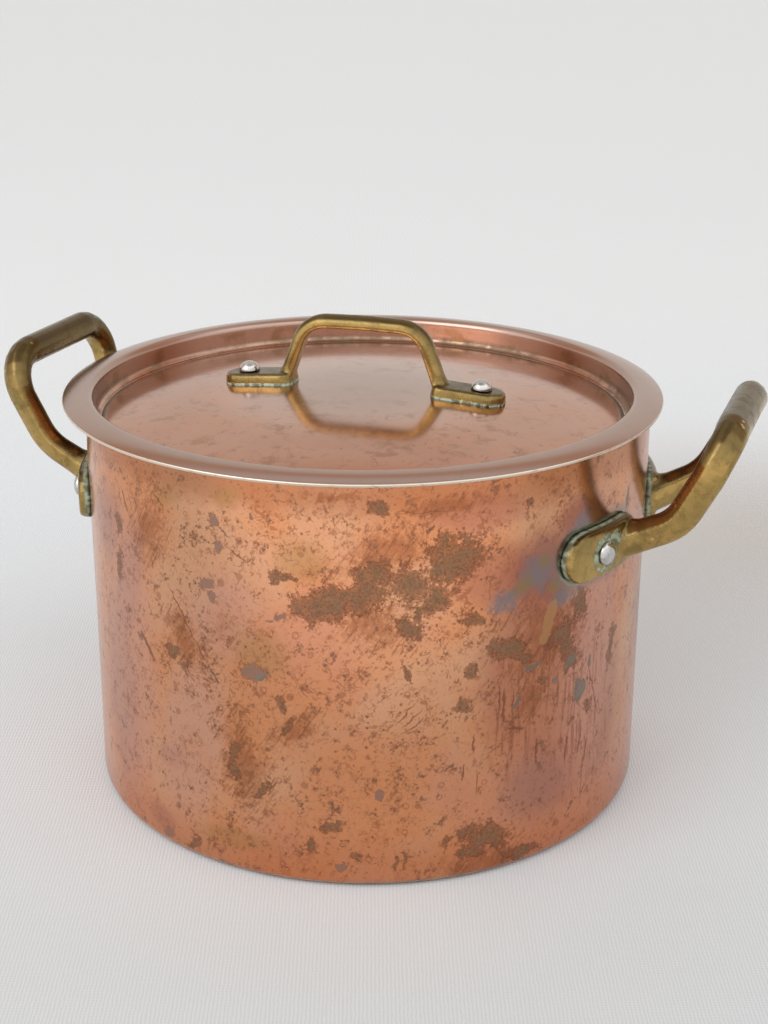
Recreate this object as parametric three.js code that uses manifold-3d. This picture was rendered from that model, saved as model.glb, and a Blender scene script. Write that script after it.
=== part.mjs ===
// A copper stockpot with a lift-off lid and cast brass handles, in millimetres with +Z up.
// The origin is the centre of the flat underside, and +X runs out through the right side handle.
import * as THREE from "three";
import { mergeVertices } from "three/addons/utils/BufferGeometryUtils.js";
import Module from "manifold-3d";

const wasm = await Module();
wasm.setup();

const radians = THREE.MathUtils.degToRad;
const { clamp, lerp } = THREE.MathUtils;

// The pot: one straight-sided vessel. Its radius and height are outside sizes.
const potRadius = 100;
const potHeight = 143.2;
const potWall = 1.6;
const potFloor = 2;
const potCornerRadius = 4;
const rimRounding = 0.5;

// The lid: one sheet, bent into a flange over the rim, a sunken well and a domed panel.
const lidSheet = 1.2;
const lidOverhang = 5.7;
const lidFlangeDrop = 1.7;
const lidWellClearance = 2.2;
const lidWellDepth = 10.7;
const lidWellBend = 2.2;
const lidLipBend = 1.2;
const lidPanelCrown = 8.7;
const lidEdgeRounding = 0.35;
// The lid lies loose on the rim, a little turned and slid to one side within its clearance.
const lidTurn = radians(3.7);
const lidSlideShare = 0.8;
const lidSlideBearing = radians(200);

// The bow on the lid: a cast strap, flat inside and round outside. Its spans run along X, and its
// height goes from the middle of the panel to the strap's centre line.
const bowLegSpan = 59;
const bowShoulderSpan = 42.4;
const bowHeight = 23.8;
const bowCamber = 0.6;
const bowTopRadius = 300;
const bowShoulderRadius = 11;
const bowWidth = 7.4;
const bowSideHeight = 2;
const bowCrown = 2.8;
const bowEdgeRounding = 0.6;
const bowFlare = 2;
const bowFlareLength = 6;

// The feet under the bow, one rivet in each.
const footRivetSpan = 85.2;
const footWidth = 13.4;
const footTipReach = 9.2;
const footHeelMargin = 4.5;
const footHeelRadius = 4;
const footThickness = 4.1;
const footDraft = 0.5;
const footBevel = 0.9;

// The side handles: cast loops that leave the wall at a slope, bend up and close in a straight grip.
// Lengths along the loop start where its root line meets the wall's outside.
const handleRootDrop = 33.9;
const handleRootSlope = radians(28.7);
const handleRootLength = 12.9;
const handleBendRadius = 16.4;
const handleLegSlope = radians(62.9);
const handleRootSpan = 47.8;
const handleGripSpan = 68.4;
const handleCornerRadius = 11.6;
const legWidth = 8.4;
const legFace = 3.2;
const gripWidth = 10.6;
const gripBack = 6.5;
const gripFace = 5;
const handleFlare = 3;
const handleFlareLength = 9;
// The left handle was filed a little shorter and thinner, and has been bent up a little in use.
const rightHandleLength = 51.4;
const leftHandleLength = 49.8;
const rightLegBack = 7.9;
const leftLegBack = 7.2;
const rightHandleLean = radians(0);
const leftHandleLean = radians(7.1);

// The lugs at the roots of the side handles, one rivet in each.
const lugRivetSpan = 74.3;
const lugDrop = 35.9;
const lugHeight = 18;
const lugTipReach = 17.8;
const lugHeelMargin = 5.2;
const lugHeelRadius = 3;
const lugThickness = 3.6;
const lugDraft = 0.7;
const lugBevel = 0.9;

// The rivets: a domed head outside, and a flatter dome inside where the shank was closed.
const shankRadius = 2.4;
const sideHeadRadius = 3.95;
const lidHeadRadius = 3.75;
const sideHeadHeight = 2.2;
const lidHeadHeight = 3.3;
const tailRadius = 4;
const tailHeight = 1.4;
const domeEdge = 0.3;

// The clearance between seated pieces and round a shank, how deep a casting's plates and legs are
// drawn before they are trimmed to their seat, and how far a cut runs past what it cuts.
const seatGap = 0.3;
const holeClearance = 0.3;
const plateSink = 3;
const legSink = 12;
const cutOverrun = 8;

// How finely round forms are drawn, and when two points count as one.
const vesselSegments = 72;
const rivetSegments = 14;
const cornerSteps = 3;
const domeSteps = 5;
const flangeSteps = 3;
const tipSteps = 4;
const shoulderSteps = 6;
const crownSteps = 6;
const gripCornerSteps = 6;
const handleBendSteps = 4;
const handleSectionSteps = 7;
const samePoint = 0.001;

const copper = { color: 0xb3714f, roughness: 0.34, metalness: 1 };
const brass = { color: 0xa58a50, roughness: 0.36, metalness: 1 };
const rivetMetal = { color: 0xc8c6c0, roughness: 0.3, metalness: 1 };

// Solids and meshes

function solidOf(geometry) {
  const bare = geometry.clone();
  bare.deleteAttribute("normal");
  bare.deleteAttribute("uv");
  const merged = mergeVertices(bare, samePoint);
  const vertProperties = merged.attributes.position.array;
  const triVerts = new Uint32Array(merged.index.array);
  return new wasm.Manifold(new wasm.Mesh({ numProp: 3, vertProperties, triVerts }));
}

function meshOf(name, solid, finish) {
  const { vertProperties, triVerts } = solid.getMesh();
  const geometry = new THREE.BufferGeometry();
  geometry.setAttribute("position", new THREE.BufferAttribute(vertProperties, 3));
  geometry.setIndex(new THREE.BufferAttribute(triVerts, 1));
  geometry.computeVertexNormals();
  const mesh = new THREE.Mesh(geometry, new THREE.MeshStandardMaterial(finish));
  mesh.name = name;
  return mesh;
}

function placed(solid, frame) {
  return solid.transform(frame.elements);
}

// A profile of radius and height that starts and ends on the axis, turned about Z.
function turned(profile, segments) {
  return solidOf(new THREE.LatheGeometry(profile, segments).rotateX(Math.PI / 2));
}

function middleOf(ring) {
  const sum = ring.reduce((total, point) => total.add(point), new THREE.Vector3());
  return sum.divideScalar(ring.length);
}

// A skin over rings of equal count, each anticlockwise about the way they run, with both ends closed.
function loft(rings) {
  const count = rings[0].length;
  const lastRing = (rings.length - 1) * count;
  const points = [...rings.flat(), middleOf(rings[0]), middleOf(rings.at(-1))];
  const firstMiddle = lastRing + count;
  const lastMiddle = firstMiddle + 1;
  const faces = [];
  for (let side = 0; side < count; side++) {
    const next = (side + 1) % count;
    for (let near = 0; near < lastRing; near += count) {
      const far = near + count;
      faces.push(near + side, near + next, far + next);
      faces.push(near + side, far + next, far + side);
    }
    faces.push(firstMiddle, next, side);
    faces.push(lastMiddle, lastRing + side, lastRing + next);
  }
  const geometry = new THREE.BufferGeometry().setFromPoints(points);
  geometry.setIndex(faces);
  return geometry;
}

// Outlines

function corner(x, y, radius = 0, steps = cornerSteps) {
  return { point: new THREE.Vector2(x, y), radius, steps };
}

// How much of the side towards a neighbour a corner's rounding may take.
function roomTowards(item, neighbour) {
  return item.point.distanceTo(neighbour.point) * (neighbour.radius > 0 ? 1 / 2 : 1);
}

// The arc that rounds a corner, or the bare point where nothing is rounded.
function cornerArc(before, item, after) {
  const toBefore = before.point.clone().sub(item.point).normalize();
  const toAfter = after.point.clone().sub(item.point).normalize();
  const halfAngle = Math.acos(clamp(toBefore.dot(toAfter), -1, 1)) / 2;
  const room = Math.min(roomTowards(item, before), roomTowards(item, after));
  const setback = Math.min(item.radius / Math.tan(halfAngle), room);
  if (setback < samePoint) return [item.point.clone()];
  const toCentre = toBefore.clone().add(toAfter).setLength(setback / Math.cos(halfAngle));
  const centre = item.point.clone().add(toCentre);
  const start = item.point.clone().addScaledVector(toBefore, setback);
  const turn = -Math.sign(toBefore.cross(toAfter)) * (Math.PI - 2 * halfAngle);
  const arc = [];
  for (let step = 0; step <= item.steps; step++) {
    arc.push(start.clone().rotateAround(centre, (turn * step) / item.steps));
  }
  return arc;
}

// Points without any that falls on the one before it.
function distinct(points, isRing) {
  return points.filter((point, index) => {
    const before = isRing ? points.at(index - 1) : points[index - 1];
    return !before || point.distanceTo(before) > samePoint;
  });
}

// The points of a line of corners. Its ends stay sharp.
function roundedLine(corners) {
  const points = corners.flatMap((item, index) => {
    const isEnd = index === 0 || index === corners.length - 1;
    return isEnd ? [item.point.clone()] : cornerArc(corners[index - 1], item, corners[index + 1]);
  });
  return distinct(points, false);
}

// The points of a ring of corners.
function roundedRing(corners) {
  const points = corners.flatMap((item, index) =>
    cornerArc(corners.at(index - 1), item, corners[(index + 1) % corners.length]),
  );
  return distinct(points, true);
}

// The unit normals to the right of the way that a line or a ring runs.
function rightNormals(points, isRing) {
  const last = points.length - 1;
  return points.map((point, index) => {
    const before = isRing ? points.at(index - 1) : points[Math.max(index - 1, 0)];
    const after = isRing ? points[(index + 1) % points.length] : points[Math.min(index + 1, last)];
    const arriving = point.clone().sub(before).normalize();
    const leaving = after.clone().sub(point).normalize();
    const along = arriving.add(leaving).normalize();
    return new THREE.Vector2(along.y, -along.x);
  });
}

function offsetRight(points, distance, isRing = false) {
  const normals = rightNormals(points, isRing);
  return points.map((point, index) => point.clone().addScaledVector(normals[index], distance));
}

// A tongue that lies along X round a rivet at zero, anticlockwise, with its round tip at +X.
function tongueOutline(width, tipReach, heelReach, heelRadius) {
  const half = width / 2;
  const heelX = heelRadius - heelReach;
  const tipX = tipReach - half;
  const nearHeel = lerp(heelX, tipX, 1 / 3);
  const nearTip = lerp(heelX, tipX, 2 / 3);
  return roundedRing([
    corner(-heelReach, -half, heelRadius),
    corner(nearHeel, -half),
    corner(nearTip, -half),
    corner(tipReach, -half, half, tipSteps),
    corner(tipReach, half, half, tipSteps),
    corner(nearTip, half),
    corner(nearHeel, half),
    corner(-heelReach, half, heelRadius),
  ]);
}

// A cast plate over an outline. It narrows upwards by its draft and is bevelled round its front,
// which has inner rings so that it can be bent.
function castPlate(outline, thickness, draft, bevel) {
  const levels = [
    { height: -plateSink, inset: 0 },
    { height: 0, inset: 0 },
    { height: thickness - bevel, inset: draft },
    { height: thickness - bevel / 4, inset: draft + bevel / 2 },
    { height: thickness, inset: draft + bevel * (3 / 2) },
  ];
  const rings = levels.map(({ height, inset }) =>
    offsetRight(outline, -inset, true).map(({ x, y }) => new THREE.Vector3(x, y, height)),
  );
  const front = rings.at(-1);
  const middle = middleOf(front);
  for (const frontShare of [2 / 3, 1 / 3]) {
    rings.push(front.map((point) => middle.clone().lerp(point, frontShare)));
  }
  return loft(rings);
}

// Rivets, along their own Z axis with the seat of the head at zero

// A dome from its foot up to the axis.
function domeProfile(radius, height) {
  const points = [];
  for (let step = 0; step < cornerSteps; step++) {
    const angle = (Math.PI / 2) * (step / cornerSteps);
    const rise = domeEdge + (height - domeEdge) * Math.sin(angle);
    points.push(new THREE.Vector2(radius * Math.cos(angle), rise));
  }
  return [...points, new THREE.Vector2(0, height)];
}

function rivetSolid(headRadius, headHeight, grip) {
  const tail = domeProfile(tailRadius, tailHeight).map(({ x, y }) => new THREE.Vector2(x, -grip - y));
  const profile = [
    ...tail.reverse(),
    new THREE.Vector2(tailRadius, -grip),
    new THREE.Vector2(shankRadius, -grip),
    new THREE.Vector2(shankRadius, 0),
    new THREE.Vector2(headRadius, 0),
    ...domeProfile(headRadius, headHeight),
  ];
  return turned(profile, rivetSegments);
}

// The hole for a shank that grips from zero down. It runs on past both ends.
function rivetHole(grip) {
  const radius = shankRadius + holeClearance;
  const geometry = new THREE.CylinderGeometry(radius, radius, grip + 2 * cutOverrun, rivetSegments);
  return solidOf(geometry.rotateX(Math.PI / 2).translate(0, 0, -grip / 2));
}

// Where the side handles sit. The flats of a wall drawn in segments lie inside its true radius.
const potInside = potRadius - potWall;
const wallSeat = potRadius + seatGap;
const flatShare = Math.cos(Math.PI / vesselSegments);
const lugAngle = Math.asin(lugRivetSpan / 2 / potRadius);
const rootAngle = Math.asin(handleRootSpan / 2 / potRadius);
const sideHeadSeat = wallSeat + lugThickness + seatGap;
const sideTailSeat = Math.sqrt((potInside * flatShare) ** 2 - tailRadius ** 2) - seatGap;
const sideGrip = sideHeadSeat - sideTailSeat;

// The seat of a side rivet's head, with Z straight out of the wall.
function sideRivetFrame(angle) {
  const out = new THREE.Vector3(Math.cos(angle), Math.sin(angle), 0);
  const up = new THREE.Vector3(0, 0, 1);
  const frame = new THREE.Matrix4().makeBasis(up.clone().cross(out), up, out);
  return frame.setPosition(out.multiplyScalar(sideHeadSeat).setZ(potHeight - lugDrop));
}

function cutSideHoles(solid, angles) {
  return angles.reduce(
    (rest, angle) => rest.subtract(placed(rivetHole(sideGrip), sideRivetFrame(angle))),
    solid,
  );
}

// The pot

function potBody(rivetAngles) {
  const outline = [
    corner(0, 0),
    corner(potRadius, 0, potCornerRadius),
    corner(potRadius, potHeight, rimRounding),
    corner(potInside, potHeight, rimRounding),
    corner(potInside, potFloor, Math.max(potCornerRadius - potWall, 0)),
    corner(0, potFloor),
  ];
  return cutSideHoles(turned(roundedLine(outline), vesselSegments), rivetAngles);
}

// The side handles, each in a frame where +X runs straight out of the wall

// The handle seen along Y: a straight root, a bend and a straight leg.
function handleProfile(distance, lean) {
  const rootSlope = handleRootSlope + lean;
  const legSlope = handleLegSlope + lean;
  const bendLength = handleBendRadius * (legSlope - rootSlope);
  const onRoot = Math.min(distance, handleRootLength);
  const onBend = clamp(distance - handleRootLength, 0, bendLength);
  const onLeg = Math.max(distance - handleRootLength - bendLength, 0);
  const slope = rootSlope + onBend / handleBendRadius;
  const bendOut = handleBendRadius * (Math.sin(slope) - Math.sin(rootSlope));
  const bendUp = handleBendRadius * (Math.cos(rootSlope) - Math.cos(slope));
  const out = potRadius + onRoot * Math.cos(rootSlope) + bendOut + onLeg * Math.cos(legSlope);
  const rise = onRoot * Math.sin(rootSlope) + bendUp + onLeg * Math.sin(legSlope);
  return { out, height: potHeight - handleRootDrop + rise, slope };
}

// Stations of the loop laid out flat, from the root at -Y to the root at +Y. A heading is the way
// the loop runs there, measured from the profile's own direction.
function handleStations(length) {
  const spread = Math.atan((handleGripSpan - handleRootSpan) / 2 / length);
  const turn = Math.PI / 2 + spread;
  const cornerX = length - handleCornerRadius;
  const cornerY = handleCornerRadius * Math.tan(turn / 2) - handleGripSpan / 2;
  const legEnd = cornerX - handleCornerRadius * Math.sin(spread);
  const bendLength = handleBendRadius * (handleLegSlope - handleRootSlope);
  const distances = [-legSink, 0, handleFlareLength / 3, handleFlareLength * (2 / 3)];
  for (let step = 0; step <= handleBendSteps; step++) {
    distances.push(handleRootLength + (bendLength * step) / handleBendSteps);
  }
  const stations = distances
    .filter((distance) => distance < legEnd)
    .map((distance) => {
      const y = -handleRootSpan / 2 - distance * Math.tan(spread);
      return { distance, y, heading: -spread, gripShare: 0 };
    });
  for (let step = 0; step <= gripCornerSteps; step++) {
    const gripShare = step / gripCornerSteps;
    const heading = turn * gripShare - spread;
    const distance = cornerX + handleCornerRadius * Math.sin(heading);
    const y = cornerY - handleCornerRadius * Math.cos(heading);
    stations.push({ distance, y, heading, gripShare });
  }
  const otherHalf = stations.map((station) => ({
    ...station,
    y: -station.y,
    heading: Math.PI - station.heading,
  }));
  return [...stations, ...otherHalf.reverse()];
}

// One ring of the loop. A low face towards the pot meets a deep round back, in a soft crease along
// the legs and more roundly along the grip.
function handleRing({ distance, y, heading, gripShare }, lean, legBack) {
  const { out, height, slope } = handleProfile(distance, lean);
  const centre = new THREE.Vector3(out, y, height);
  const face = new THREE.Vector3(-Math.sin(slope), 0, Math.cos(slope));
  const along = new THREE.Vector3(Math.cos(slope), 0, Math.sin(slope));
  along.multiplyScalar(Math.cos(heading)).setY(Math.sin(heading));
  const side = face.clone().cross(along);
  const flare = handleFlare * clamp(1 - distance / handleFlareLength, 0, 1) ** 2;
  const halfWidth = lerp(legWidth, gripWidth, gripShare) / 2 + flare;
  const faceRise = lerp(legFace, gripFace, gripShare) + flare;
  const backDepth = lerp(legBack, gripBack, gripShare);
  const facePower = lerp(2, 1, gripShare);
  const ring = [];
  for (let step = 0; step < 2 * handleSectionSteps; step++) {
    const angle = (Math.PI * step) / handleSectionSteps;
    const share = Math.sin(angle);
    const lift = share > 0 ? faceRise * share ** facePower : backDepth * share;
    const point = centre.clone().addScaledVector(side, halfWidth * Math.cos(angle));
    ring.push(point.addScaledVector(face, lift));
  }
  return ring;
}

// A flat plate bent round the wall: X becomes distance round it, Y height and Z distance out.
function bentRoundWall(plate, angle) {
  const { position } = plate.attributes;
  for (let index = 0; index < position.count; index++) {
    const bearing = angle + position.getX(index) / wallSeat;
    const reach = wallSeat + position.getZ(index);
    const height = potHeight - lugDrop + position.getY(index);
    position.setXYZ(index, reach * Math.cos(bearing), reach * Math.sin(bearing), height);
  }
  return plate;
}

function sideHandle({ length, legBack, lean }) {
  const heelReach = (lugAngle - rootAngle) * wallSeat + lugHeelMargin;
  const outline = tongueOutline(lugHeight, lugTipReach, heelReach, lugHeelRadius);
  const lug = castPlate(outline, lugThickness, lugDraft, lugBevel);
  const frontLug = bentRoundWall(lug.clone().rotateZ(Math.PI), -lugAngle);
  const backLug = bentRoundWall(lug.clone(), lugAngle);
  const stations = handleStations(length);
  const loop = loft(stations.map((station) => handleRing(station, lean, legBack)));
  const casting = solidOf(loop).add(solidOf(frontLug)).add(solidOf(backLug));
  const wallLength = potHeight + 2 * cutOverrun;
  const wall = new THREE.CylinderGeometry(wallSeat, wallSeat, wallLength, vesselSegments);
  wall.rotateX(Math.PI / 2).translate(0, 0, potHeight / 2);
  return cutSideHoles(casting.subtract(solidOf(wall)), [-lugAngle, lugAngle]);
}

function sideRivet(angle) {
  return placed(rivetSolid(sideHeadRadius, sideHeadHeight, sideGrip), sideRivetFrame(angle));
}

// The lid, in a frame whose origin is in the middle of the pot's rim. The lengths here belong to the
// middle of the sheet, and each bend's radius is measured inside the bend.
const wellRadius = potInside - lidWellClearance - lidSheet / 2;
const crestRadius = wellRadius + lidLipBend + lidSheet / 2;
const flangeReach = potRadius + lidOverhang - crestRadius;
const flangeRadius = (flangeReach ** 2 + lidFlangeDrop ** 2) / (2 * lidFlangeDrop);
const lidSlide = lidWellClearance * lidSlideShare;
const rimReach = Math.max(potRadius + lidSlide - crestRadius, 0);
const undersideFall = flangeRadius - Math.sqrt((flangeRadius - lidSheet / 2) ** 2 - rimReach ** 2);
const crestHeight = seatGap + undersideFall;
const wellHeight = crestHeight - lidWellDepth;
const panelRadius = (wellRadius ** 2 + lidPanelCrown ** 2) / (2 * lidPanelCrown);
const panelCentre = wellHeight + lidPanelCrown - panelRadius;
const panelTop = wellHeight + lidPanelCrown + lidSheet / 2;

// The panel's middle line, from the axis out to the well.
function panelLine() {
  const points = [];
  for (let step = 0; step <= domeSteps; step++) {
    const angle = (Math.asin(wellRadius / panelRadius) * step) / domeSteps;
    const height = panelCentre + panelRadius * Math.cos(angle);
    points.push(new THREE.Vector2(panelRadius * Math.sin(angle), height));
  }
  return points;
}

// The whole lid's middle line, from the axis out to the edge of the flange.
function lidLine() {
  const corners = panelLine().slice(0, -1).map(({ x, y }) => corner(x, y));
  corners.push(corner(wellRadius, wellHeight, lidWellBend + lidSheet / 2));
  corners.push(corner(wellRadius, crestHeight, lidLipBend + lidSheet / 2));
  for (let step = 0; step <= flangeSteps; step++) {
    const angle = (Math.asin(flangeReach / flangeRadius) * step) / flangeSteps;
    const fall = flangeRadius * (1 - Math.cos(angle));
    corners.push(corner(crestRadius + flangeRadius * Math.sin(angle), crestHeight - fall));
  }
  return roundedLine(corners);
}

// Where the feet and the rivets sit on the panel.
const footAngle = Math.asin(footRivetSpan / 2 / panelRadius);
const footLift = lidSheet / 2 + seatGap;
const lidHeadLift = footLift + footThickness + seatGap;
const lidGrip = lidHeadLift + lidSheet / 2 + seatGap;

// A frame over a lid rivet's place, lifted off the sheet's middle, with Z square to the panel.
function footFrame(side, lift) {
  const frame = new THREE.Matrix4().makeRotationY(side * footAngle);
  const place = new THREE.Vector3().setFromMatrixColumn(frame, 2);
  place.multiplyScalar(panelRadius + lift);
  return frame.setPosition(place.setZ(place.z + panelCentre));
}

function cutLidHoles(solid) {
  return [-1, 1].reduce(
    (rest, side) => rest.subtract(placed(rivetHole(lidGrip), footFrame(side, lidHeadLift))),
    solid,
  );
}

function lidBody() {
  const line = lidLine();
  const under = offsetRight(line, lidSheet / 2);
  const over = offsetRight(line, -lidSheet / 2).reverse();
  under[0].x = 0;
  over.at(-1).x = 0;
  const edges = [under.at(-1), over[0]];
  const outline = [...under, ...over].map((point) =>
    corner(point.x, point.y, edges.includes(point) ? lidEdgeRounding : 0),
  );
  return cutLidHoles(turned(roundedLine(outline), vesselSegments));
}

// The bow, in the lid's frame

// The strap's centre line in X and height, from the root at -X to the root at +X.
function bowLine() {
  const top = panelTop + bowHeight;
  const shoulderHeight = top - bowCamber;
  const legX = bowLegSpan / 2;
  const shoulderX = bowShoulderSpan / 2;
  const lean = (legX - shoulderX) / (shoulderHeight - panelTop);
  const onLeg = (rise) => corner(legX - lean * rise, panelTop + rise);
  const half = [
    onLeg(-plateSink),
    onLeg(0),
    onLeg(bowFlareLength / 2),
    onLeg(bowFlareLength),
    corner(shoulderX, shoulderHeight, bowShoulderRadius, shoulderSteps),
  ];
  const otherHalf = half.map(({ point, radius, steps }) => corner(-point.x, point.y, radius, steps));
  return roundedLine([...otherHalf, corner(0, top, bowTopRadius), ...half.reverse()]);
}

// The strap's section, with X across it and Y outwards, anticlockwise.
function bowSection(flare) {
  const half = bowWidth / 2 + flare;
  const inside = -(bowSideHeight + bowCrown) / 2;
  const section = [
    new THREE.Vector2(-half, inside + bowEdgeRounding),
    new THREE.Vector2(bowEdgeRounding - half, inside),
    new THREE.Vector2(half - bowEdgeRounding, inside),
    new THREE.Vector2(half, inside + bowEdgeRounding),
  ];
  for (let step = 0; step <= crownSteps; step++) {
    const angle = (Math.PI * step) / crownSteps;
    const lift = bowSideHeight + (bowCrown + flare) * Math.sin(angle);
    section.push(new THREE.Vector2(half * Math.cos(angle), inside + lift));
  }
  return section;
}

function bowRings() {
  const line = bowLine();
  const inwards = rightNormals(line, false);
  return line.map((point, index) => {
    const { x: normalX, y: normalZ } = inwards[index].negate();
    const flareShare = clamp(1 - (point.y - panelTop) / bowFlareLength, 0, 1) ** 2;
    return bowSection(bowFlare * flareShare).map(
      ({ x, y }) => new THREE.Vector3(point.x + normalX * y, x, point.y + normalZ * y),
    );
  });
}

function lidHandle() {
  const heelReach = (footRivetSpan - bowLegSpan) / 2 + footHeelMargin;
  const outline = tongueOutline(footWidth, footTipReach, heelReach, footHeelRadius);
  const foot = castPlate(outline, footThickness, footDraft, footBevel);
  const rightFoot = placed(solidOf(foot), footFrame(1, footLift));
  const leftFoot = placed(solidOf(foot.clone().rotateZ(Math.PI)), footFrame(-1, footLift));
  const casting = solidOf(loft(bowRings())).add(rightFoot).add(leftFoot);
  const seat = offsetRight(panelLine(), -footLift).reverse();
  seat.at(-1).x = 0;
  const seatFloor = wellHeight - cutOverrun;
  const floorLine = [new THREE.Vector2(0, seatFloor), new THREE.Vector2(seat[0].x, seatFloor)];
  return cutLidHoles(casting.subtract(turned([...floorLine, ...seat], vesselSegments)));
}

function lidRivet(side) {
  return placed(rivetSolid(lidHeadRadius, lidHeadHeight, lidGrip), footFrame(side, lidHeadLift));
}

// The whole stockpot

const rightLoop = { length: rightHandleLength, legBack: rightLegBack, lean: rightHandleLean };
const leftLoop = { length: leftHandleLength, legBack: leftLegBack, lean: leftHandleLean };
const sides = [
  { name: "right", facing: 0, loop: rightLoop, frontAngle: -lugAngle },
  { name: "left", facing: Math.PI, loop: leftLoop, frontAngle: lugAngle },
];

const stockpot = new THREE.Group();
const rivetAngles = sides.flatMap(({ facing }) => [facing - lugAngle, facing + lugAngle]);
stockpot.add(meshOf("pot_body", potBody(rivetAngles), copper));

for (const { name, facing, loop, frontAngle } of sides) {
  const handleGroup = new THREE.Group();
  handleGroup.rotation.z = facing;
  handleGroup.add(meshOf(`side_handle_${name}`, sideHandle(loop), brass));
  handleGroup.add(meshOf(`rivet_${name}_front`, sideRivet(frontAngle), rivetMetal));
  handleGroup.add(meshOf(`rivet_${name}_back`, sideRivet(-frontAngle), rivetMetal));
  stockpot.add(handleGroup);
}

const lidGroup = new THREE.Group();
lidGroup.position.x = lidSlide * Math.cos(lidSlideBearing);
lidGroup.position.y = lidSlide * Math.sin(lidSlideBearing);
lidGroup.position.z = potHeight;
lidGroup.rotation.z = lidTurn;
lidGroup.add(meshOf("lid", lidBody(), copper));
lidGroup.add(meshOf("lid_handle", lidHandle(), brass));
lidGroup.add(meshOf("lid_rivet_right", lidRivet(1), rivetMetal));
lidGroup.add(meshOf("lid_rivet_left", lidRivet(-1), rivetMetal));
stockpot.add(lidGroup);

export default stockpot;
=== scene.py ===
import math

import bmesh
import bpy
from mathutils import Matrix, Vector, noise


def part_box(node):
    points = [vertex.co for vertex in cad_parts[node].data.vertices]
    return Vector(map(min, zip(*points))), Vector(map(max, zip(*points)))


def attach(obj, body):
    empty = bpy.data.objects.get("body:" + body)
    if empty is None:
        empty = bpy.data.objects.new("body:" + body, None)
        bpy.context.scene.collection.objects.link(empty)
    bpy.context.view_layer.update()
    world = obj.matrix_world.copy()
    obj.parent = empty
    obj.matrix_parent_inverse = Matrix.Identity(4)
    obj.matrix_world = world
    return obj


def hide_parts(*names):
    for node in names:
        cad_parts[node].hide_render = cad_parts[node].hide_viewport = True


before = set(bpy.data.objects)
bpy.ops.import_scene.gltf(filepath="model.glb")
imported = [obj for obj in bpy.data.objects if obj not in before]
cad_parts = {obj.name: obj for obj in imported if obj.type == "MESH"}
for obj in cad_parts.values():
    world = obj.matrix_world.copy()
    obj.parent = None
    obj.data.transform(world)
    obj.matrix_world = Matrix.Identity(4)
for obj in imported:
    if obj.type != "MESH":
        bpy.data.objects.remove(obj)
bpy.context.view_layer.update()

MM = 0.001
PER_MM = 1 / MM

# The pot, as the frame has it
POT_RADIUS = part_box("pot_body")[1].x
POT_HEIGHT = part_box("pot_body")[1].z
POT_WALL = 1.6 * MM
POT_FLOOR = 2 * MM
POT_CORNER = 4 * MM
RIM_ROUNDING = 0.5 * MM

# The lid, as the frame has it: a sunken panel, a well wall and a flange over the rim
LID_LOW, LID_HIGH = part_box("lid")
LID_CENTRE = Vector(((LID_LOW.x + LID_HIGH.x) / 2, (LID_LOW.y + LID_HIGH.y) / 2))
LID_RADIUS = (LID_HIGH.x - LID_LOW.x) / 2
LID_SHEET = 1.2 * MM
LID_WELL_CLEARANCE = 2.2 * MM
LID_WELL_BEND = 2.2 * MM
LID_LIP_BEND = 1.2 * MM
LID_CROWN = 8.7 * MM
LID_FLANGE_DROP = 1.7 * MM
LID_EDGE_ROUNDING = 0.35 * MM
TINNED_EDGE = 0.25 * MM

# The rivets
SHANK_RADIUS = 2.4 * MM
TAIL_RADIUS = 4 * MM
TAIL_HEIGHT = 1.4 * MM
HEAD_EDGE = 0.3 * MM
WALL_HEAD_HEIGHT = 2.2 * MM
LID_HEAD_HEIGHT = 3.3 * MM

# How finely round forms are drawn
VESSEL_SEGMENTS = 288
RIVET_SEGMENTS = 48
ARC_STEPS = 8
WALL_STEPS = 40
DOME_STEPS = 40
FLANGE_STEPS = 10
ON_AXIS = 1e-7

# Sockets of the Mix node that blend colours
BLEND, UNDER, OVER, BLENDED = 0, 6, 7, 2


def linear(hex_colour):
    """An sRGB hex colour as the linear RGBA of a shader's socket."""
    shares = [int(hex_colour[at:at + 2], 16) / 255 for at in (1, 3, 5)]
    return [s / 12.92 if s <= 0.04045 else ((s + 0.055) / 1.055) ** 2.4 for s in shares] + [1]


def node(tree, kind, feeds=None, out=0, **settings):
    """Adds a node with its settings. Each feed is a value, or the output of another node."""
    made = tree.nodes.new("ShaderNode" + kind)
    for name, value in settings.items():
        setattr(made, name, value)
    for key, value in (feeds or {}).items():
        if isinstance(value, bpy.types.NodeSocket):
            tree.links.new(value, made.inputs[key])
        else:
            made.inputs[key].default_value = value
    return made.outputs[out] if made.outputs else made


# Meshes

def rounded_line(corners):
    """A line through corners (x, height, radius), with an arc at each inner corner that has a radius."""
    points = [Vector(corners[0][:2])]
    for before, here, after in zip(corners, corners[1:], corners[2:]):
        point, radius = Vector(here[:2]), here[2]
        if not radius:
            points.append(point)
            continue
        back = (Vector(before[:2]) - point).normalized()
        ahead = (Vector(after[:2]) - point).normalized()
        half_angle = back.angle(ahead) / 2
        centre = point + (back + ahead).normalized() * radius / math.sin(half_angle)
        first = (point + back * radius / math.tan(half_angle) - centre).normalized()
        last = (point + ahead * radius / math.tan(half_angle) - centre).normalized()
        for step in range(ARC_STEPS + 1):
            points.append(centre + first.slerp(last, step / ARC_STEPS) * radius)
    points.append(Vector(corners[-1][:2]))
    return points


def offset_line(line, distance):
    """The line moved to its right by a distance."""
    moved = []
    for at, point in enumerate(line):
        ahead = line[min(at + 1, len(line) - 1)] - line[max(at - 1, 0)]
        moved.append(point + Vector((ahead.y, -ahead.x)).normalized() * distance)
    return moved


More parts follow.
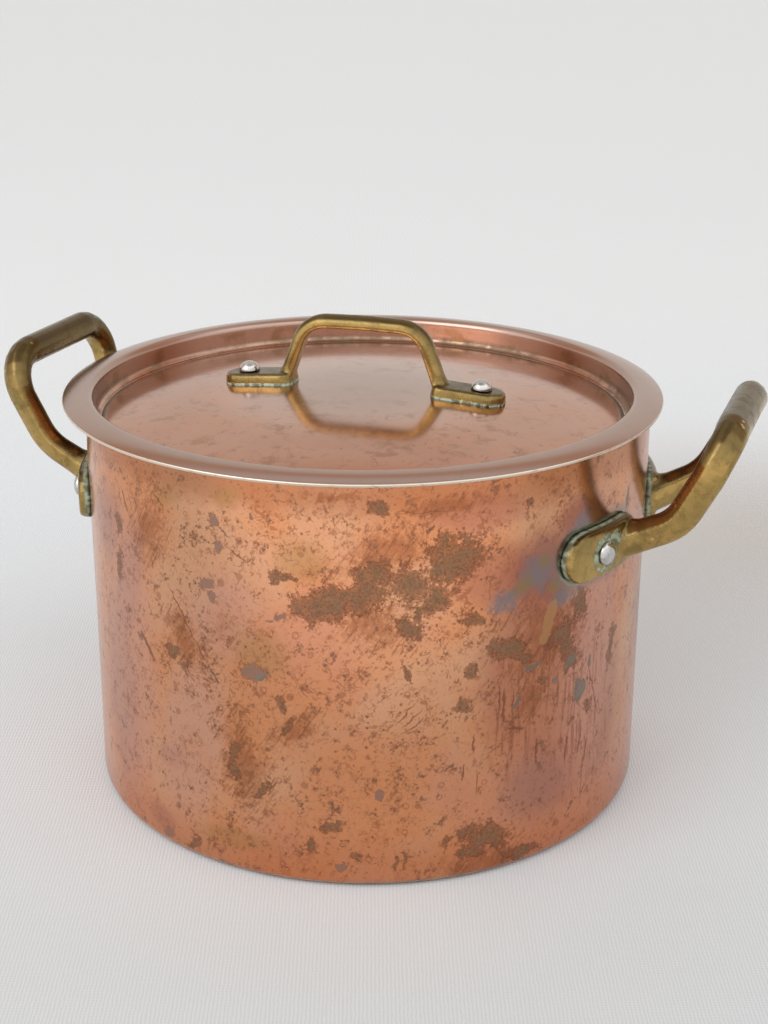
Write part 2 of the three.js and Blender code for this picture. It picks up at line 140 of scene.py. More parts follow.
def lathe(name, profile, segments, slots=lambda middle: 0, shaped=lambda point: point):
    """A solid of revolution. Its profile runs from the axis round to the axis, anticlockwise."""
    mesh = bmesh.new()
    rings = []
    for point in profile:
        count = segments if point.x > ON_AXIS else 1
        turns = [2 * math.pi * at / count for at in range(count)]
        places = [Vector((point.x * math.cos(t), point.x * math.sin(t), point.y)) for t in turns]
        rings.append([mesh.verts.new(shaped(place)) for place in places])
    for turned_in_shade, outer, low, high in zip(rings, rings[1:], profile, profile[1:]):
        for at in range(segments):
            after = (at + 1) % segments
            corners = [turned_in_shade[at % len(turned_in_shade)], turned_in_shade[after % len(turned_in_shade)]]
            corners += [outer[after % len(outer)], outer[at % len(outer)]]
            distinct = list(dict.fromkeys(corners))
            if len(distinct) < 3:
                continue
            face = mesh.faces.new(distinct)
            face.smooth = True
            face.material_index = slots((low + high) / 2)
    bmesh.ops.recalc_face_normals(mesh, faces=mesh.faces)
    piece = bpy.data.objects.new(name, bpy.data.meshes.new(name))
    mesh.to_mesh(piece.data)
    mesh.free()
    bpy.context.scene.collection.objects.link(piece)
    return piece


def applied(piece):
    """Makes the piece's modifiers part of its mesh."""
    depsgraph = bpy.context.evaluated_depsgraph_get()
    finished = bpy.data.meshes.new_from_object(piece.evaluated_get(depsgraph))
    piece.modifiers.clear()
    piece.data = finished


def place(piece, body, slot, materials, *replaced):
    """Seats a finished piece on its body, with its materials, in place of its CAD nodes."""
    for material in materials:
        piece.data.materials.append(material)
    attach(piece, body)
    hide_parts(*replaced)


# Patterns, each a value from 0 to 1. Sizes in millimetres follow the real marks.

def eased(tree, value, low, high):
    """0 where the value is under low, 1 over high, and smooth between. With low over high it falls."""
    feeds = {"Value": value, "From Min": low, "From Max": high}
    return node(tree, "MapRange", feeds, interpolation_type="SMOOTHSTEP")


def cloud(tree, where, size_mm, detail=4, roughness=0.55, distortion=0.0):
    """Cloudy noise, with its largest blotches about size_mm across."""
    feeds = {
        "Vector": where,
        "Scale": PER_MM / size_mm,
        "Detail": detail,
        "Roughness": roughness,
        "Distortion": distortion,
    }
    return node(tree, "TexNoise", feeds)


def patches(tree, where, size_mm, low, high, **how):
    """The thick parts of a cloud, as patches with a soft edge."""
    return eased(tree, cloud(tree, where, size_mm, **how), low, high)


def wander(tree, where, size_mm, reach_mm):
    """A random shift, which gives what is drawn through it a ragged outline."""
    feeds = {"Vector": where, "Scale": PER_MM / size_mm, "Detail": 5, "Roughness": 0.65}
    colour = node(tree, "TexNoise", feeds, out=1)
    centred = node(tree, "VectorMath", {0: colour, 1: (0.5, 0.5, 0.5)}, operation="SUBTRACT")
    return node(tree, "VectorMath", {0: centred, "Scale": 2 * reach_mm * MM}, operation="SCALE")


# Half the width of a spot's soft edge
SPOT_EDGE_MM = 0.15


def spots(tree, where, spacing_mm, inner_mm, outer_mm, kept_share):
    """Round marks from an inner to an outer radius, more or less, in a random share of a grid's cells."""
    cells = node(tree, "TexVoronoi", {"Vector": where, "Scale": PER_MM / spacing_mm}).node.outputs
    chance = node(tree, "SeparateColor", {0: cells["Color"]}).node.outputs
    kept = node(tree, "Math", {0: chance["Red"], 1: kept_share}, operation="LESS_THAN")
    size = node(tree, "Math", {0: chance["Green"], 1: 0.6, 2: 0.55}, operation="MULTIPLY_ADD")
    reach = node(tree, "Math", {0: cells["Distance"], 1: size}, operation="DIVIDE")
    body = eased(tree, reach, (outer_mm + SPOT_EDGE_MM) / spacing_mm, (outer_mm - SPOT_EDGE_MM) / spacing_mm)
    if inner_mm:
        low, high = (inner_mm - SPOT_EDGE_MM) / spacing_mm, (inner_mm + SPOT_EDGE_MM) / spacing_mm
        body = node(tree, "Math", {0: body, 1: eased(tree, reach, low, high)}, operation="MULTIPLY")
    return node(tree, "Math", {0: body, 1: kept}, operation="MULTIPLY")


def scribbles(tree, where, size_mm, thickness_share):
    """Thin crooked lines, like those that a drop leaves as it dries."""
    field = cloud(tree, where, size_mm, detail=2, distortion=1.2)
    apart = node(tree, "Math", {0: field, 1: 0.5}, operation="SUBTRACT")
    apart = node(tree, "Math", {0: apart}, operation="ABSOLUTE")
    return eased(tree, apart, thickness_share, thickness_share / 2)


def unrolled(tree, where):
    """The pot's wall laid flat: the way round it from +X, and the height, in metres."""
    parts = node(tree, "SeparateXYZ", {0: where}).node.outputs
    angle = node(tree, "Math", {0: parts["Y"], 1: parts["X"]}, operation="ARCTAN2")
    around = node(tree, "Math", {0: angle, 1: POT_RADIUS}, operation="MULTIPLY")
    return node(tree, "CombineXYZ", {"X": around, "Y": parts["Z"]})


def marks(tree, flat, rows):
    """1 in the middle of a mark and 0 from its edge on, for the closest of a list of marks."""
    closest = 0.0
    for angle_deg, height_mm, along_mm, across_mm, slope_deg in rows:
        feeds = {
            "Vector": flat,
            "Location": (math.radians(angle_deg) * POT_RADIUS, height_mm * MM, 0),
            "Rotation": (0, 0, math.radians(slope_deg)),
            "Scale": (along_mm * MM, across_mm * MM, 1),
        }
        inside = node(tree, "Mapping", feeds, vector_type="TEXTURE")
        near = node(tree, "TexGradient", {0: inside}, out="Fac", gradient_type="SPHERICAL")
        closest = node(tree, "Math", {0: near, 1: closest}, operation="MAXIMUM")
    return closest


def lug_gap(tree, where):
    """How far a place on the wall lies outside the closest lug's outline, or less than 0 inside it."""
    # All four lugs lie alike, mirrored. Each is a long shape with round ends.
    mirrored = node(tree, "VectorMath", {0: where}, operation="ABSOLUTE")
    feeds = {0: unrolled(tree, mirrored), 1: (*LUG_MIDDLE, 0)}
    apart = node(tree, "VectorMath", feeds, operation="SUBTRACT")
    apart = node(tree, "VectorMath", {0: apart}, operation="ABSOLUTE")
    half_length, half_width = LUG_HALF_SIZE
    feeds = {0: apart, 1: (half_length - half_width, 0, 1)}
    beyond = node(tree, "VectorMath", feeds, operation="SUBTRACT")
    beyond = node(tree, "VectorMath", {0: beyond, 1: (0, 0, 0)}, operation="MAXIMUM")
    reach = node(tree, "VectorMath", {0: beyond}, out="Value", operation="LENGTH")
    return node(tree, "Math", {0: reach, 1: half_width}, operation="SUBTRACT")


def corner_shade_and_grime(tree, reach_mm):
    """1 deep in a corner between two surfaces, 0 in the open. It is found by ambient occlusion and marks
    painted shade and grime.
    """
    open_share = node(tree, "AmbientOcclusion", {"Distance": reach_mm * MM}, out="AO", samples=4)
    return node(tree, "Math", {0: 1, 1: open_share}, operation="SUBTRACT")


def layered(tree, base, layers):
    """A colour with further colours laid over it, each with its mask and the share of it that covers."""
    for mask, share, hex_colour in layers:
        cover = node(tree, "Math", {0: mask, 1: share}, operation="MULTIPLY")
        feeds = {BLEND: cover, UNDER: base, OVER: linear(hex_colour)}
        base = node(tree, "Mix", feeds, out=BLENDED, data_type="RGBA")
    return base


def surface(name, build):
    """A material whose shader's feeds come from build(tree, where)."""
    material = bpy.data.materials.new(name)
    material.use_nodes = True
    tree = material.node_tree
    tree.nodes.clear()
    where = node(tree, "TexCoord", out="Object")
    shader = node(tree, "BsdfPrincipled", build(tree, where))
    node(tree, "OutputMaterial", {"Surface": shader})
    return material


# Where the castings meet the copper, measured on their CAD solids. What lies less than LUG_SIDE from the
# wall is the side of a lug. A rivet's head sits on the lug, about HEAD_SEAT from the wall.

LUG_SIDE = 1.5 * MM
HEAD_SEAT = 4 * MM


def corners_of(node_name):
    return [vertex.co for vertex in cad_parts[node_name].data.vertices]


def middle_of(node_name):
    low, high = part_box(node_name)
    return (low + high) / 2


def spread(values):
    """The middle and half the width of a list of values."""
    return (max(values) + min(values)) / 2, (max(values) - min(values)) / 2


def lug_outline():
    """The middle and half the size of the lugs' outline on the unrolled wall."""
    corners = corners_of("side_handle_right")
    in_lugs = [corner for corner in corners if corner.to_2d().length - POT_RADIUS < LUG_SIDE]
    ways_round = [abs(math.atan2(corner.y, corner.x)) * POT_RADIUS for corner in in_lugs]
    return zip(spread(ways_round), spread([corner.z for corner in in_lugs]))


LUG_MIDDLE, LUG_HALF_SIZE = lug_outline()
HEAD_MIDDLE = middle_of("rivet_right_back")
HEAD_MIDDLE.xy *= (POT_RADIUS + HEAD_SEAT) / HEAD_MIDDLE.xy.length

# The panel is a cap of a large ball. A foot's side starts on it.
WELL_RADIUS = POT_RADIUS - POT_WALL - LID_WELL_CLEARANCE - LID_SHEET / 2
BALL_RADIUS = (WELL_RADIUS ** 2 + LID_CROWN ** 2) / (2 * LID_CROWN)
BALL_CENTRE = LID_CENTRE.to_3d() + Vector((0, 0, LID_LOW.z + LID_SHEET / 2 + LID_CROWN - BALL_RADIUS))


# Where the wall is marked. A row is a mark's angle and height, half its length and width in mm, and its
# slope. The marks at the front follow the real pot, and those behind are in the same style.
BROWN_HAZE = [
    (-115, 116, 17, 13, 80), (-107, 81, 17, 11, -55), (-76, 137, 14, 3, 0), (-56, 134, 18, 4, 5),
    (-34, 84, 24, 26, 50), (-69, 95, 20, 12, -15), (-94, 41, 26, 12, -80), (-84, 57, 14, 7, 40),
    (-47, 5, 26, 8, 0), (-38, 62, 12, 9, 80), (-67, 118, 22, 14, 20), (8, 70, 30, 25, 80),
    (120, 60, 30, 22, 50), (75, 95, 24, 16, -20), (160, 100, 25, 14, 70),
]
# Mauve stains. The long upright rows at the left and right edges of the front are painted reflection: the
# mauve sheen that the wall shows there at a grazing angle.
MAUVE_HAZE_AND_EDGE_SHEEN = [
    (-111, 36, 10, 6, 20), (-115, 10, 9, 6, -5), (-36, 29, 22, 18, -15), (-16, 48, 40, 17, 90),
    (-124, 89, 40, 11, 70), (-132, 110, 20, 16, 70), (-128, 50, 50, 16, 90), (-20, 85, 55, 18, 90),
    (50, 40, 26, 18, 10), (100, 110, 26, 14, 0), (150, 30, 24, 16, 20),
]
RED_HAZE = [
    (-40, 70, 44, 22, 90), (-46, 108, 20, 14, 0), (-30, 30, 26, 20, 0), (-32, 62, 62, 26, 90),
    (-50, 130, 26, 8, 0), (70, 60, 40, 30, 80),
]
# Painted highlight and reflection: pale pink patches on the left of the front, where the light falls
# brightest, and at both of its edges, where the wall mirrors the pale room at a grazing angle. Those behind
# are in the same style.
PAINTED_SHEEN_MARKS = [
    (-124, 65, 70, 22, 90), (-106, 45, 44, 18, 80), (-98, 92, 22, 16, 60), (-22, 75, 70, 22, 90),
    (0, 110, 30, 30, 0), (110, 60, 40, 26, 60),
]
YELLOW_HAZE = [
    (-96, 13, 20, 6, 0), (-110, 129, 9, 5, 15), (-96, 134, 7, 5, 10), (-90, 82, 13, 12, 10),
    (-82, 116, 10, 12, 80), (30, 110, 18, 12, 40), (85, 20, 20, 10, 0),
]
OLIVE_PATCHES = [
    (-55, 115, 14, 12, 20), (-69, 113, 9, 6, 10), (-62, 108, 13, 8, -45), (-78, 101, 14, 9, 15),
    (-70, 105, 14, 8, 20), (-58, 103, 9, 6, 40), (-31, 83, 9, 5, 20), (-26, 90, 5, 8, 0),
    (-60, 99, 6, 2, 40), (-63, 94, 7, 4, -30), (-85, 110, 5, 2, 5), (-87, 110, 3, 3, 5),
    (-77, 22, 5.5, 3, 25), (-81, 16, 2, 4, 5), (-51, 95, 5, 4, -10), (-43, 82, 11, 5, -20),
    (-40, 78, 5, 3, -15), (-29, 77, 16, 4, -75), (-22, 51, 4, 4, 40), (-52, 65, 5, 4, 15),
    (-51, 76, 4, 3, 70), (-63, 78, 5, 1.5, -65), (-68, 134, 5, 3.5, -20), (-96, 43, 11, 3, -80),
    (-85, 58, 6.5, 1.5, 55), (-90, 34, 7, 2, 60), (-86, 66, 4, 2, -60), (-47, 15, 12, 7, -15),
    (-50, 10, 7, 3, -10), (-55, 17, 2.5, 2.5, -10), (-39, 5, 9, 3, 0), (-65, 9, 5.5, 1.5, 90),
    (-63, 10, 6, 1, 90), (-110, 76, 5, 2.5, 0), (-107, 72, 4, 2, 15), (-106, 6, 6, 2, 35),
    (-72, 12, 3.5, 2, 25), (-126, 112, 6, 3, -60), (-14, 68, 12, 3, 80), (-40, 130, 2, 2, 0),
    (-36, 67, 2, 2, 0), (-126, 99, 10, 3, 75), (-59, 126, 2, 1.5, 40), (20, 90, 9, 6, 30),
    (45, 30, 10, 5, -20), (70, 118, 7, 5, 0), (95, 75, 9, 7, 50), (115, 25, 8, 4, 10),
    (140, 90, 10, 6, -40), (165, 45, 6, 8, 20), (-155, 70, 6, 9, 10),
]
MAUVE_FLAKES = [
    (-91, 75, 5, 3.5, 10), (-99, 124, 3, 2, 45), (-97, 122, 4, 0.8, -30), (-101, 103, 3.5, 2.5, 60),
    (-100, 99, 2, 2, -55), (-86, 97, 3, 2, 15), (-88, 94, 2.5, 0.8, 30), (-98, 116, 3, 2, 60),
    (-25, 59, 5, 3, 80), (-68, 34, 3, 2.5, -35), (-99, 2, 4.5, 1.5, 0), (-75, 8, 2.5, 2, 0),
    (-113, 6, 3.5, 2.5, 0), (-32, 66, 2.5, 2, -15), (-91, 128, 2, 1.5, -80), (60, 70, 4, 3, 30),
    (130, 120, 4, 2, 10),
]
GREY_FLAKES = [
    (-25, 59, 6.5, 4.5, 80), (-32, 66, 3, 2, -15), (-28, 71, 4, 2, 30), (-38, 74, 5, 2, 10),
    (-22, 67, 3.5, 1.5, 80), (-41, 62, 3, 2, 40), (-90, 74, 3, 2, 10), (110, 70, 6, 4, 20),
]
SCRATCHES = [
    (-117, 73, 7.5, 0.9, -50), (-108, 93, 9, 0.3, -55), (-104, 82, 13.5, 0.3, -55),
    (-100, 72, 5, 0.5, -50), (-123, 122, 5, 0.6, -65), (-20, 55, 14, 0.4, -70),
    (-44, 62, 8, 0.7, 90), (-42, 62, 7, 0.4, 90), (-36, 42, 6.5, 0.7, 90), (-50, 50, 4.5, 0.5, 85),
    (-41, 53, 4, 0.8, -15), (-52, 40, 3.5, 0.5, 90), (-49, 37, 5, 0.3, 90), (-24, 39, 6.5, 0.5, 80),
    (-22, 33, 6, 0.5, 80), (-28, 39, 7.5, 0.5, 85), (-94, 115, 4.5, 0.3, -30),
    (-45, 64, 8.5, 0.3, 90), (-60, 132, 9.5, 0.3, 0), (-62, 62, 6, 0.3, 45),
    (-63, 64, 5.5, 0.3, 50), (-61, 60, 4.5, 0.3, 45), (-112, 127, 3.5, 0.4, -35),
    (30, 60, 12, 0.4, 60), (80, 50, 9, 0.4, -50),
]
PITTED_ZONES = [
    (-91, 119, 16, 10, -10), (-79, 129, 23, 11, 5), (-57, 129, 24, 11, -5), (-60, 89, 24, 13, -5),
    (-95, 67, 28, 14, 10), (-49, 94, 18, 22, -10), (-70, 61, 28, 18, 0), (-77, 68, 25, 13, 25),
    (20, 80, 30, 30, 0), (90, 60, 35, 30, 0), (150, 90, 30, 30, 0),
]
STREAKED_ZONES = [(-42, 56, 28, 12, 90), (-23, 45, 38, 22, 90), (-31, 72, 28, 14, 90), (60, 60, 40, 25, 90)]
# Heat and old flux have stained the copper blue-grey, with an olive middle, beside one lug.
BLUE_STAINS = [(-37, 106, 13, 11, 20), (-44, 99, 9, 6, 0), (-31, 95, 10, 5, -5), (-27, 118, 12, 7, 45)]
OLIVE_STAINS = [(-41, 103, 7, 5.5, 30), (-36, 110, 5, 4, 60), (-33, 100, 4, 3, 0)]
STAIN_HALO = [(-36, 107, 22, 19, 20), (-28, 120, 15, 11, 40)]
FLAME_STAIN = [(-34, 89, 7.5, 2.5, 75), (-35, 83, 3, 2, 55)]
GREEN_STREAK = [(-10, 119, 6, 1.5, 80), (-14, 115, 5, 1, 25)]
SCOURED_SLOPE = math.radians(-32)


# Sheet copper, spun and drawn, then cooked with for years: it keeps a soft sheen, with brown and olive
# oxide in grainy patches, small pits and rings from splashes, and streaks where it was wiped.
def old_copper(tree, where):
    flat = unrolled(tree, where)
    frayed = node(tree, "VectorMath", {0: flat, 1: wander(tree, where, size_mm=7, reach_mm=4.5)})
    nicked = node(tree, "VectorMath", {0: flat, 1: wander(tree, where, size_mm=3.5, reach_mm=1.6)})
    grain = cloud(tree, where, 1.1, detail=5, roughness=0.75)
    drift = cloud(tree, where, 24, detail=5, roughness=0.6)
    splatter = cloud(tree, where, 5, detail=7, roughness=0.76)
    texture = node(tree, "Mix", {"Factor": 0.35, "A": splatter, "B": grain})

    def grainy(rows, pull, low, high):
        """A list of marks with a ragged edge and bare copper between their grains."""
        feeds = {0: marks(tree, frayed, rows), 1: pull, 2: texture}
        pulled = node(tree, "Math", feeds, operation="MULTIPLY_ADD")
        return eased(tree, pulled, low, high), eased(tree, pulled, low - 0.05, low + 0.02)

    # Broad tones
    orange = patches(tree, where, 48, 0.36, 0.58, detail=3)
    rosy = patches(tree, where, 60, 0.50, 0.70, detail=4)
    brown, brown_edge = grainy(BROWN_HAZE, 0.30, 0.54, 0.74)
    red_haze = eased(tree, marks(tree, frayed, RED_HAZE), 0.0, 0.6)
    # Mauve haze, partly painted reflection along the wall's edges.
    mauve_haze_and_edge_sheen = eased(tree, marks(tree, frayed, MAUVE_HAZE_AND_EDGE_SHEEN), 0.0, 0.7)
    level = node(tree, "SeparateXYZ", {0: frayed}, out="Y")
    foot = eased(tree, level, 24 * MM, 5 * MM)
    # Painted shade: the wall is drawn darker towards the rim, under the lid's flange.
    under_flange_shade = eased(tree, level, POT_HEIGHT - 16 * MM, POT_HEIGHT - 7 * MM)
    # Painted highlight and reflection: the pale pink sheen patches.
    painted_sheen = eased(tree, marks(tree, frayed, PAINTED_SHEEN_MARKS), 0.0, 0.6)
    yellow_haze = eased(tree, marks(tree, frayed, YELLOW_HAZE), 0.0, 0.7)
    mottle = eased(tree, grain, 0.40, 0.66)
    tarnish = node(tree, "Math", {0: drift, 1: 0.45, 2: texture}, operation="MULTIPLY_ADD")
    tarnish = eased(tree, tarnish, 0.75, 0.88)

    # Olive oxide, red-brown at its edge
    olive, olive_edge = grainy(OLIVE_PATCHES, 0.30, 0.59, 0.76)
    dark_grains = patches(tree, where, 0.8, 0.46, 0.60, detail=3, roughness=0.7)
    dark_grains = node(tree, "Math", {0: dark_grains, 1: olive_edge}, operation="MULTIPLY")

    # Pits, rings and the crooked lines of dried drops, thick in places
    pitted = marks(tree, frayed, PITTED_ZONES)
    pitted = node(tree, "Math", {0: pitted, 1: 0.5, 2: drift}, operation="MULTIPLY_ADD")
    thickly = eased(tree, pitted, 0.40, 0.72)
    crooked = node(tree, "VectorMath", {0: where, 1: wander(tree, where, size_mm=1.6, reach_mm=0.5)})
    pits = spots(tree, crooked, spacing_mm=2.4, inner_mm=0, outer_mm=0.5, kept_share=0.5)
    blots = spots(tree, crooked, spacing_mm=7, inner_mm=0, outer_mm=1.3, kept_share=0.4)
    rings = spots(tree, crooked, spacing_mm=5.5, inner_mm=0.7, outer_mm=1.15, kept_share=0.35)
    lines = scribbles(tree, where, size_mm=5, thickness_share=0.05)
    dried = patches(tree, where, 3.5, 0.50, 0.56)
    lines = node(tree, "Math", {0: lines, 1: dried}, operation="MULTIPLY")
    flecks = patches(tree, where, 2.2, 0.60, 0.64, detail=6, roughness=0.7)
    pits = node(tree, "Math", {0: pits, 1: thickly}, operation="MULTIPLY")
    lines = node(tree, "Math", {0: lines, 1: thickly}, operation="MULTIPLY")

    # Hatching from scouring, streaks up and down, long scratches, and thin crusts with a crisp outline
    feeds = {"Vector": flat, "Rotation": (0, 0, SCOURED_SLOPE), "Scale": (1, 9, 1)}
    scoured = node(tree, "Mapping", feeds, vector_type="TEXTURE")
    hatching = patches(tree, scoured, 1.1, 0.50, 0.66, detail=4, roughness=0.65)
    hatching = node(tree, "Math", {0: hatching, 1: brown_edge}, operation="MULTIPLY")
    stretched = node(tree, "Mapping", {"Vector": where, "Scale": (1, 1, 0.09)})
    streaked = eased(tree, marks(tree, frayed, STREAKED_ZONES), 0.0, 0.5)
    streaks = patches(tree, stretched, 1.5, 0.50, 0.62, detail=4, roughness=0.65)
    streaks = node(tree, "Math", {0: streaks, 1: streaked}, operation="MULTIPLY")
    scratches = eased(tree, marks(tree, nicked, SCRATCHES), 0.0, 0.4)
    flakes, flake_edge = grainy(MAUVE_FLAKES, 0.5, 0.64, 0.72)
    grey_flakes = grainy(GREY_FLAKES, 0.5, 0.64, 0.70)[0]

    # Stains beside the lugs, and verdigris creeping out from under them, with painted shade at their outline
    halo = eased(tree, marks(tree, frayed, STAIN_HALO), 0.0, 0.7)
    blue = grainy(BLUE_STAINS, 0.40, 0.52, 0.84)[0]
    olive_stain = grainy(OLIVE_STAINS, 0.40, 0.54, 0.82)[0]
    flame = eased(tree, marks(tree, nicked, FLAME_STAIN), 0.0, 0.12)
    flame_edge = eased(tree, marks(tree, nicked, FLAME_STAIN), -0.05, 0.03)
    green = eased(tree, marks(tree, nicked, GREEN_STREAK), 0.0, 0.5)
    ragged = node(tree, "VectorMath", {0: where, 1: wander(tree, where, size_mm=2.5, reach_mm=1)})
    gap = lug_gap(tree, ragged)
    near_lug = eased(tree, gap, 5.0 * MM, 1.0 * MM)
    crusted = eased(tree, gap, 1.5 * MM, 0.2 * MM)
    # Painted shade with verdigris: a dark green-grey rim right at each lug's outline, where it meets the
    # wall.
    under_lug_shade_and_crust = eased(tree, gap, 0.5 * MM, 0.0)

    colour = layered(tree, linear("#FFC298"), [
        (orange, 0.8, "#FFA972"),
        (rosy, 0.5, "#F4AE96"),
        (mottle, 0.14, "#C07C58"),
        (red_haze, 0.65, "#CE8771"),
        (mauve_haze_and_edge_sheen, 0.6, "#BC8A80"),
        (painted_sheen, 0.6, "#F2B8A2"),
        (foot, 0.5, "#DC8458"),
        (under_flange_shade, 0.5, "#B36A42"),
        (yellow_haze, 0.5, "#C99C62"),
        (tarnish, 0.32, "#B06C44"),
        (brown, 0.6, "#AC6440"),
        (hatching, 0.6, "#905438"),
        (streaks, 0.5, "#844C3C"),
        (lines, 0.5, "#9A583C"),
        (flecks, 0.5, "#9A583B"),
        (olive_edge, 0.6, "#8C4F36"),
        (olive, 0.8, "#82694B"),
        (dark_grains, 0.65, "#5C4530"),
        (blots, 0.45, "#9B5F45"),
        (rings, 0.45, "#9A5D42"),
        (pits, 0.75, "#8A4E36"),
        (scratches, 0.75, "#86523C"),
        (flake_edge, 0.5, "#8A5442"),
        (flakes, 0.85, "#8F7468"),
        (grey_flakes, 0.85, "#7D7F75"),
        (halo, 0.7, "#A65E58"),
        (blue, 0.85, "#878C96"),
        (olive_stain, 0.7, "#989062"),
        (flame_edge, 0.5, "#8A5A40"),
        (flame, 0.7, "#C08E60"),
        (near_lug, 0.6, "#8A807A"),
        (green, 0.8, "#56665A"),
        (crusted, 0.7, "#98A492"),
        (under_lug_shade_and_crust, 0.3, "#4A5247"),
    ])
    crust = node(tree, "Math", {0: olive, 1: flakes}, operation="MAXIMUM")
    roughness = node(tree, "Math", {0: olive_edge, 1: 0.08, 2: 0.20}, operation="MULTIPLY_ADD")
    roughness = node(tree, "Math", {0: crust, 1: 0.16, 2: roughness}, operation="MULTIPLY_ADD")
    metallic = node(tree, "Math", {0: crust, 1: -0.35, 2: 1}, operation="MULTIPLY_ADD")
    relief = node(tree, "Math", {0: pits, 1: -1.5, 2: grain}, operation="MULTIPLY_ADD")
    normal = node(tree, "Bump", {"Strength": 0.12, "Distance": 0.05 * MM, "Height": relief})
    return {"Base Color": colour, "Roughness": roughness, "Metallic": metallic, "Normal": normal}


# The lid is the same copper with a thinner, even film on it, so that it still mirrors softly. Steam and
# wiping have left deposits in the corner of its well.
def satin_copper(tree, where):
    feeds = {0: where, 1: tuple(LID_CENTRE.to_3d())}
    from_centre = node(tree, "VectorMath", feeds, operation="SUBTRACT")
    level = node(tree, "VectorMath", {0: from_centre, 1: (1, 1, 0)}, operation="MULTIPLY")
    radius = node(tree, "VectorMath", {0: level}, out="Value", operation="LENGTH")
    height = node(tree, "SeparateXYZ", {0: where}, out="Z")
    well_top, flange_foot = LID_HIGH.z - 4 * MM, LID_HIGH.z - 1.5 * MM
    on_flange = eased(tree, height, well_top, flange_foot)
    in_well = eased(tree, height, flange_foot, well_top)
    on_wall = eased(tree, radius, WELL_RADIUS - 1.8 * MM, WELL_RADIUS - 0.6 * MM)
    on_wall = node(tree, "Math", {0: on_wall, 1: in_well}, operation="MULTIPLY")

    # Dirt in the well's corner, as a line of uneven width
    ragged = cloud(tree, where, 5, detail=6, roughness=0.7)
    uneven = node(tree, "Math", {0: ragged, 1: 6 * MM, 2: radius}, operation="MULTIPLY_ADD")
    to_corner = node(tree, "Math", {0: uneven, 1: WELL_RADIUS + 1.4 * MM}, operation="SUBTRACT")
    to_corner = node(tree, "Math", {0: to_corner}, operation="ABSOLUTE")
    low_down = eased(tree, height, LID_LOW.z + 5.5 * MM, LID_LOW.z + 3.0 * MM)
    grime = eased(tree, to_corner, 1.8 * MM, 0.3 * MM)
    grime = node(tree, "Math", {0: grime, 1: low_down}, operation="MULTIPLY")
    kept = patches(tree, where, 26, 0.42, 0.56, detail=5)
    grime = node(tree, "Math", {0: grime, 1: kept}, operation="MULTIPLY")
    pale = patches(tree, where, 2.5, 0.44, 0.66, detail=6)
    verdigris = node(tree, "Math", {0: grime, 1: pale}, operation="MULTIPLY")
    splashed = patches(tree, where, 16, 0.52, 0.64, detail=6, roughness=0.6)
    splashed = node(tree, "Math", {0: splashed, 1: on_wall}, operation="MULTIPLY")

    crown = eased(tree, radius, 62 * MM, 14 * MM)
    film = patches(tree, where, 40, 0.40, 0.62, detail=5)
    warm = patches(tree, where, 26, 0.46, 0.66, detail=6, roughness=0.62)
    crooked = node(tree, "VectorMath", {0: where, 1: wander(tree, where, size_mm=2, reach_mm=0.6)})
    specks = spots(tree, crooked, spacing_mm=9, inner_mm=0, outer_mm=0.6, kept_share=0.4)
    faint = patches(tree, where, 9, 0.52, 0.66, detail=8, roughness=0.7)
    lines = scribbles(tree, where, size_mm=9, thickness_share=0.02)
    dried = patches(tree, where, 5, 0.50, 0.62)
    lines = node(tree, "Math", {0: lines, 1: dried}, operation="MULTIPLY")
    colour = layered(tree, linear("#C6957D"), [
        (film, 0.8, "#BE8F79"),
        (warm, 0.5, "#CA8C69"),
        (crown, 0.85, "#F0CEBC"),
        (faint, 0.6, "#9C6F57"),
        (lines, 0.5, "#94705E"),
        (specks, 0.6, "#84604E"),
        (on_flange, 0.85, "#B0968A"),
        (on_wall, 0.85, "#AA9080"),
        (splashed, 0.7, "#8C6F50"),
        (grime, 0.75, "#7A6450"),
        (verdigris, 0.35, "#A09C84"),
    ])
    swirl = cloud(tree, where, 5, detail=6, roughness=0.7)
    roughness = node(tree, "Math", {0: swirl, 1: 0.08, 2: 0.10}, operation="MULTIPLY_ADD")
    roughness = node(tree, "Math", {0: on_flange, 1: 0.06, 2: roughness}, operation="MULTIPLY_ADD")
    roughness = node(tree, "Math", {0: on_wall, 1: 0.10, 2: roughness}, operation="MULTIPLY_ADD")
    roughness = node(tree, "Math", {0: grime, 1: 0.3, 2: roughness}, operation="MULTIPLY_ADD")
    normal = node(tree, "Bump", {"Strength": 0.05, "Distance": 0.05 * MM, "Height": swirl})
    return {"Base Color": colour, "Roughness": roughness, "Metallic": 1.0, "Normal": normal}


# A tin lining, wiped on hot over the copper: grey, soft and a little cloudy.
def wiped_tin(tree, where):
    stretched = node(tree, "Mapping", {"Vector": where, "Scale": (1, 1, 0.3)})
    wipes = cloud(tree, stretched, 14, detail=5, roughness=0.6, distortion=1.5)
    colour = layered(tree, linear("#BDB9B0"), [
        (eased(tree, wipes, 0.45, 0.65), 1, "#A9A49A"),
        (patches(tree, where, 6, 0.62, 0.74), 1, "#8C857A"),
    ])
    roughness = node(tree, "Math", {0: wipes, 1: 0.15, 2: 0.25}, operation="MULTIPLY_ADD")
    return {"Base Color": colour, "Roughness": roughness, "Metallic": 1.0}


# The cut edge of the lid, where the tin runs over the copper.
def tinned_edge(tree, where):
    worn = patches(tree, where, 3, 0.55, 0.75)
    colour = layered(tree, linear("#E6D8C8"), [(worn, 0.6, "#B98C74")])
    return {"Base Color": colour, "Roughness": 0.35, "Metallic": 1.0}
